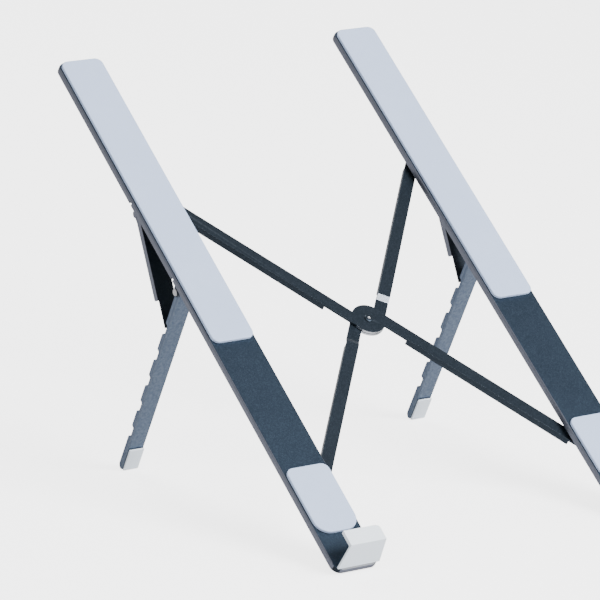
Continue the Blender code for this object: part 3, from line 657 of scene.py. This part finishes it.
def hook_tongue(side):
    top = HOOK_HEIGHT - 0.8 * MM
    front = COVER_SKIN + TONGUE_GAP
    back = front + HOOK_SHEET
    low = RAIL_DEPTH - 0.5 * MM
    outline = [(front, low), (back, low), (back + HOOK_LEAN, top), (front + HOOK_LEAN, top)]
    half = HOOK_TOP_WIDTH / 2 - COVER_SKIN
    mesh = strip(outline, side * RAIL_CENTRE - half, side * RAIL_CENTRE + half)
    mesh = round_edges(mesh, 0.3 * MM)
    mesh.transform(RAIL_FRAME)
    return mesh


for name, side in SIDES.items():
    rail = cut(rail_pan(side), *rail_cutters(side))
    whole = merged(rail, hook_tongue(side))
    made = add_piece(f"{name}_rail_sheet", whole, f"{name}_side", [f"{name}_rail"],
                     [rail_metal, front_highlight_metal, band_sheen_metal, shade_metal])
    print("  faces per finish:", paint_rail(made.data, side))

# %% [markdown]
# ## Pads
# Two silicone pads lie on each rail. They are moulded flat with a small rounded top edge
# and rounded corners, wider ones at the front of the front pad. They are stacks of rings
# too, which keeps the rounded edge even all the way round.

# %% Pads
PAD_EDGE, PAD_LEDGE = 0.45 * MM, 0.7 * MM
PAD_HALF_WIDTH = RAIL_WIDTH / 2 - PAD_LEDGE
TOP_PAD, FRONT_PAD = (0.1060, 0.2492), (0.0154, 0.0454)   # start and end up the rail
PAD_CORNER, WIDE_CORNER = 3.0 * MM, 6.0 * MM


def pad(side, y0, y1, radii):
    x0, x1 = side * RAIL_CENTRE - PAD_HALF_WIDTH, side * RAIL_CENTRE + PAD_HALF_WIDTH
    profile = [(0.25 * MM, PAD_LOW), (0.05 * MM, PAD_LOW + 0.05 * MM), (0.0, PAD_LOW + 0.2 * MM)]
    profile += quarter(0.0, PAD_HIGH - PAD_EDGE, PAD_EDGE, 0, 5)
    profile.append((PAD_EDGE + 0.15 * MM, PAD_HIGH))
    rings = []
    for inset, height in profile:
        outline = rounded_outline(x0, x1, y0, y1, radii, inset)
        rings.append([(x, y, height) for x, y in outline])
    return mesh_from_rings(rings)


for name, side in SIDES.items():
    top = pad(side, *TOP_PAD, [PAD_CORNER] * 4)
    add_piece(f"{name}_top_pad_skin", top, f"{name}_side", [f"{name}_top_pad"], [pad_silicone])
    front = pad(side, *FRONT_PAD, [WIDE_CORNER] * 2 + [PAD_CORNER] * 2)
    add_piece(f"{name}_front_pad_skin", front, f"{name}_side", [f"{name}_front_pad"],
              [pad_silicone])

# %% [markdown]
# ## Hook covers
# A pale silicone sleeve covers the front of each hook and ends in a lip that keeps the
# laptop in. It is drawn in side view as an L, made solid, and then narrowed towards the
# top. Every edge is generously rounded, because it is moulded.

# %% Hook covers
LIP_CORNER = 1.8 * MM
LIP_THICKNESS = 1.4 * MM
COVER_GAP = 0.15 * MM           # the cover stands clear of the rail's face and front


def lip_corner(middle):
    """A cutter that rounds the lip's rear corner on the stand's inner side."""
    hand = -1 if middle > 0 else 1
    low, high = HOOK_HEIGHT - 5 * MM, HOOK_HEIGHT + 1 * MM
    beyond = LIP_CORNER + 2 * MM
    centre_x = middle + hand * (HOOK_TOP_WIDTH / 2 - LIP_CORNER)
    centre_y = HOOK_LIP - LIP_CORNER
    outline = [(centre_x + hand * LIP_CORNER * math.cos(math.radians(angle)),
                centre_y + LIP_CORNER * math.sin(math.radians(angle)))
               for angle in range(0, 91, 15)]
    outline += [(centre_x, HOOK_LIP + 1 * MM), (centre_x + hand * beyond, HOOK_LIP + 1 * MM),
                (centre_x + hand * beyond, centre_y)]
    return prism(outline, low, high, Matrix.Identity(4))


def hook_cover(side):
    base = RAIL_DEPTH + COVER_GAP
    low = HOOK_HEIGHT - LIP_THICKNESS
    front = COVER_GAP
    back = front + COVER_SKIN
    outline = [(front, base), (back, base), (back + HOOK_LEAN * 0.85, low), (HOOK_LIP, low),
               (HOOK_LIP, HOOK_HEIGHT), (front + HOOK_LEAN, HOOK_HEIGHT)]
    middle = side * RAIL_CENTRE
    half = HOOK_BASE_WIDTH / 2
    mesh = strip(outline, middle - half, middle + half)
    for vertex in mesh.vertices:
        share = (vertex.co.z - base) / (HOOK_HEIGHT - base)
        width = HOOK_BASE_WIDTH + (HOOK_TOP_WIDTH - HOOK_BASE_WIDTH) * share
        vertex.co.x = middle + (vertex.co.x - middle) * width / HOOK_BASE_WIDTH
    mesh = round_edges(cut(mesh, lip_corner(middle)), 0.42 * MM, 4)
    mesh.transform(RAIL_FRAME)
    return mesh


for name, side in SIDES.items():
    add_piece(f"{name}_hook_sleeve", hook_cover(side), f"{name}_side", [f"{name}_hook_cover"],
              [cover_silicone], sharp=60)


# %% [markdown]
# ## Folded sheet parts
# The arms, legs, struts and brackets are folded from thin sheet. Their solids already have
# the right shape, so a copy is taken, flat facets are merged, and every sharp edge is
# rounded a little. That small radius is what catches the light along a fold.

# %% Helper: soften a solid
def softened(node, edge, segments=2):
    return round_edges(frame["nodes"][node].data, edge, segments)


# %% [markdown]
# ## Cross arms
# The two arms cross at a riveted hub. The rims of the discs are bare metal. The ramp where the lower arm steps
# down to pass under the other faces the light, so it is painted paler as a highlight, and the folds along both
# arms get a thin painted highlight line.

# %% Cross arms
HUB = Vector(joints["arm_cross"]["pos_m"])
RIM_START, RIM_END = 6.2 * MM, 7.0 * MM        # distances from the hub's axis
RAMP_START, RAMP_END = 12.3 * MM, 15.6 * MM
FOLDS_START = 8.0 * MM


def paint_arm(mesh):
    """Finish 1 is the disc's cut edge, 2 a painted highlight on the ramp behind the hub and 3 a painted highlight
    on every upper fold.
    """
    for face in mesh.polygons:
        away = face.center - HUB
        radial = (away - normal * away.dot(normal)).length
        facing = face.normal.dot(normal)
        rim = RIM_START < radial < RIM_END and abs(facing) < 0.9
        ramp = RAMP_START < radial < RAMP_END and 0.5 < facing < 0.97
        if rim:
            face.material_index = 1
        elif ramp and away.y > 0:
            face.material_index = 2
        elif radial > FOLDS_START and 0.2 < facing < 0.95:
            face.material_index = 3
    return [sum(face.material_index == i for face in mesh.polygons) for i in range(4)]


for arm in ("upper_arm", "lower_arm"):
    made = add_piece(f"{arm}_sheet", softened(arm, 0.4 * MM), arm, [arm],
                     [arm_metal, cut_edge_and_glint_metal, ramp_highlight_metal, fold_highlight_metal])
    print("  faces per finish:", paint_arm(made.data))

# %% [markdown]
# The hub rivet is pressed nearly flush and dyed with the arm. The head is turned as a low dome with a small
# hollow, the pit that the forming tool left, and its innermost rings get the bright finish as a painted highlight.

# %% Hub rivet
ARM_DROP = 1.6 * MM            # upper arm's top below the rail's lower edge
TOUCH_GAP = 0.3 * MM           # between pieces that bear on each other
ARM_SHEET, HUB_HEAD = 0.9 * MM, 0.45 * MM
# The tail lies mostly inside the washer and ends 0.65 mm short of the CAD rivet's, which
# shows only from below.
HUB_GRIP = 3 * ARM_SHEET       # upper arm's top to the tail
HUB_SHANK, HUB_TAIL, HUB_TAIL_LOW = 1.1 * MM, 1.9 * MM, 1.7 * MM     # radii
HUB_TAIL_DEPTH = 0.3 * MM
GLINT_PIT_RADIUS = 0.7 * MM
# radius and drop below the head's top, in millimetres, from the pit out to the shank
HUB_PROFILE = [(0.3, -0.30), (0.62, -0.20), (0.85, -0.18), (1.3, -0.24), (1.6, -0.34),
               (1.7, -0.45), (1.1, -0.47)]


def hub_rivet():
    head_top = -ARM_DROP + TOUCH_GAP + HUB_HEAD
    tail = head_top - HUB_HEAD - TOUCH_GAP - HUB_GRIP
    levels = [(radius * MM, head_top + drop * MM) for radius, drop in HUB_PROFILE]
    levels += [(HUB_SHANK, tail), (HUB_TAIL, tail), (HUB_TAIL_LOW, tail - HUB_TAIL_DEPTH)]
    rings = [[(x, y, height) for x, y in circle(0, 0, radius)] for radius, height in levels]
    print("  hub rivet from", round(tail * 1000, 2), "to", round(head_top * 1000, 2), "mm")
    place = Matrix.Translation(HUB) @ Matrix.Rotation(tilt, 4, "X")
    return mesh_from_rings(rings, place)


rivet = add_piece("hub_rivet_turned", hub_rivet(), "lower_arm", ["hub_rivet"],
                  [arm_metal, cut_edge_and_glint_metal])
# Paints a highlight on the innermost rings of the rivet's pit with the bright finish.
for face in rivet.data.polygons:
    away = face.center - HUB
    radial = (away - normal * away.dot(normal)).length
    if radial < GLINT_PIT_RADIUS and face.normal.dot(normal) > 0.5:
        face.material_index = 1

# %% [markdown]
# ## Legs, struts and brackets
# The legs are narrow channels whose rear edges are notched, and a strut drops into a notch to lock each of them.
# The legs are the palest of the metal parts. The inside of a strut sees little light, so its faces get a darker
# finish as painted shade, and its outer faces get the band's paler painted sheen.

# %% Legs, struts and brackets
def darken_hollow(piece, hinge, index):
    """Paints shade on the faces inside a channel by giving them the finish with the given index."""
    box_low, box_high = (Vector(corner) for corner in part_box(hinge))
    middle_x = (box_low.x + box_high.x) / 2
    half = (box_high.x - box_low.x) / 2
    for face in piece.data.polygons:
        inside_by = half - abs(face.center.x - middle_x)
        if inside_by > (0.2 * MM if abs(face.normal.x) > 0.9 else 0.3 * MM):
            face.material_index = index


for name in SIDES:
    add_piece(f"{name}_leg_sheet", softened(f"{name}_leg", 0.2 * MM), f"{name}_leg",
              [f"{name}_leg"], [leg_metal])
    # The strut's outer faces take the band's paler painted sheen, and its inside the painted shade.
    strut = add_piece(f"{name}_strut_sheet", softened(f"{name}_strut", 0.18 * MM),
                      f"{name}_strut", [f"{name}_strut"], [band_sheen_metal, shade_metal])
    darken_hollow(strut, f"{name}_strut", 1)
    for bracket in ("leg_bracket", "strut_bracket"):
        add_piece(f"{name}_{bracket}_sheet", softened(f"{name}_{bracket}", 0.12 * MM),
                  f"{name}_side", [f"{name}_{bracket}"], [rail_metal])

# %% [markdown]
# ## Foot caps
# A pale silicone sole and toe plate close the lower end of each leg. They are moulded, so
# they are rounded more than the sheet is.

# %% Foot caps
for name in SIDES:
    add_piece(f"{name}_foot_cover", softened(f"{name}_foot_cap", 0.3 * MM, 3), f"{name}_leg",
              [f"{name}_foot_cap"], [cover_silicone], sharp=60)

# %% [markdown]
# ## Rivets, pins and spacers
# Small round parts hold everything together. Their solids are softened too. The leg pins and rivets are bright
# steel, the strut pins and the washer take the band's paler finish, a painted sheen, and the spacers are black.

# %% Rivets, pins and spacers
owner = {node: body for body, nodes in frame["record"]["behaviour"]["bodies"].items()
         for node in nodes}
for node in sorted(owner):
    if node != "hub_rivet" and node.endswith(("rivet", "_pin", "washer")):
        # The strut pins and the washer take the band's paler painted sheen.
        finish_used = pin_steel if node.endswith(("leg_pin", "rivet")) else band_sheen_metal
        add_piece(f"{node}_turned", softened(node, 0.08 * MM), owner[node], [node],
                  [finish_used])
    elif node.endswith("spacer"):
        add_piece(f"{node}_moulded", softened(node, 0.15 * MM), owner[node], [node],
                  [nylon])

# %% [markdown]
# ## Studio
# The stand is shown on a plain pale floor under wide soft lights, as a product is. The
# floor also glows a little, but only as the camera sees it, so that it stays nearly white
# and adds no light to the stand.

# %% Floor
FLOOR_HALF, FLOOR_DROP = 6, 0.3 * MM
FLOOR_GLOW = 3.2

floor_material, floor_tree, floor_shader, _ = start_material("floor_white", 0.0)
floor_shader.inputs["Base Color"].default_value = (0.62, 0.62, 0.63, 1.0)
floor_shader.inputs["Roughness"].default_value = 0.9
seen = floor_tree.nodes.new("ShaderNodeLightPath").outputs["Is Camera Ray"]
floor_tree.links.new(blend_colours(floor_tree, seen, (0.0, 0.0, 0.0), (1.0, 1.0, 1.0)),
                     floor_shader.inputs["Emission Color"])
floor_shader.inputs["Emission Strength"].default_value = FLOOR_GLOW
floor_mesh = bpy.data.meshes.new("floor")
corners = [(x * FLOOR_HALF, y * FLOOR_HALF, 0) for x, y in ((-1, -1), (1, -1), (1, 1), (-1, 1))]
floor_mesh.from_pydata(corners, [], [(0, 1, 2, 3)])
floor_mesh.materials.append(floor_material)
floor = bpy.data.objects.new("floor", floor_mesh)
bpy.context.scene.collection.objects.link(floor)
floor.location.z = -FLOOR_DROP
print("floor:", 2 * FLOOR_HALF, "m wide")

# %% [markdown]
# Three soft discs of light: a strong one in front and to the right shapes the faces, a weak
# one on the left opens the shadows of the side bands, and one behind separates the rails
# from the floor. A plain white world fills in the rest and is what the metal reflects.

# %% Lights
LIT_POINT = Vector((0, 0, 0.05))
WORLD_LIGHT = 0.5


def soft_light(name, place, size, power):
    data = bpy.data.lights.new(name, "AREA")
    data.shape = "DISK"
    data.size = size
    data.energy = power
    lamp = bpy.data.objects.new(name, data)
    bpy.context.scene.collection.objects.link(lamp)
    lamp.location = place
    lamp.rotation_euler = (LIT_POINT - Vector(place)).to_track_quat("-Z", "Y").to_euler()
    print(f"{name} light: {power:.0f} W, {size:.1f} m across")


soft_light("key", (0.4, -1.3, 1.1), 0.9, 64.0)
soft_light("fill", (-1.1, -0.7, 0.6), 1.0, 4.0)
soft_light("back", (0.1, 1.2, 1.2), 1.0, 18.0)

world = bpy.data.worlds.new("studio")
world.use_nodes = True
world.node_tree.nodes["Background"].inputs["Color"].default_value = (1.0, 1.0, 1.0, 1.0)
world.node_tree.nodes["Background"].inputs["Strength"].default_value = WORLD_LIGHT
bpy.context.scene.world = world
print("world light", WORLD_LIGHT)

# %% [markdown]
# The camera stands low in front of the left rail, with a long lens, so that the far rail
# is nearly as large as the near one.

# %% Camera
AZIMUTH, ELEVATION = math.radians(-32.475), math.radians(14.137)
DISTANCE, LENS = 1.5615, 248.07
AIM = Vector((-0.02397, 0.00389, 0.07334))

looking = Vector((-math.sin(AZIMUTH) * math.cos(ELEVATION),
                  math.cos(AZIMUTH) * math.cos(ELEVATION), -math.sin(ELEVATION)))
camera_data = bpy.data.cameras.new("camera")
camera_data.lens = LENS
camera_data.sensor_width = 36.0
camera_data.clip_start = 0.05
camera_data.clip_end = 30.0
camera = bpy.data.objects.new("camera", camera_data)
bpy.context.scene.collection.objects.link(camera)
camera.location = AIM - DISTANCE * looking
camera.rotation_euler = looking.to_track_quat("-Z", "Y").to_euler()
bpy.context.scene.camera = camera
print("camera at", [round(value, 3) for value in camera.location])
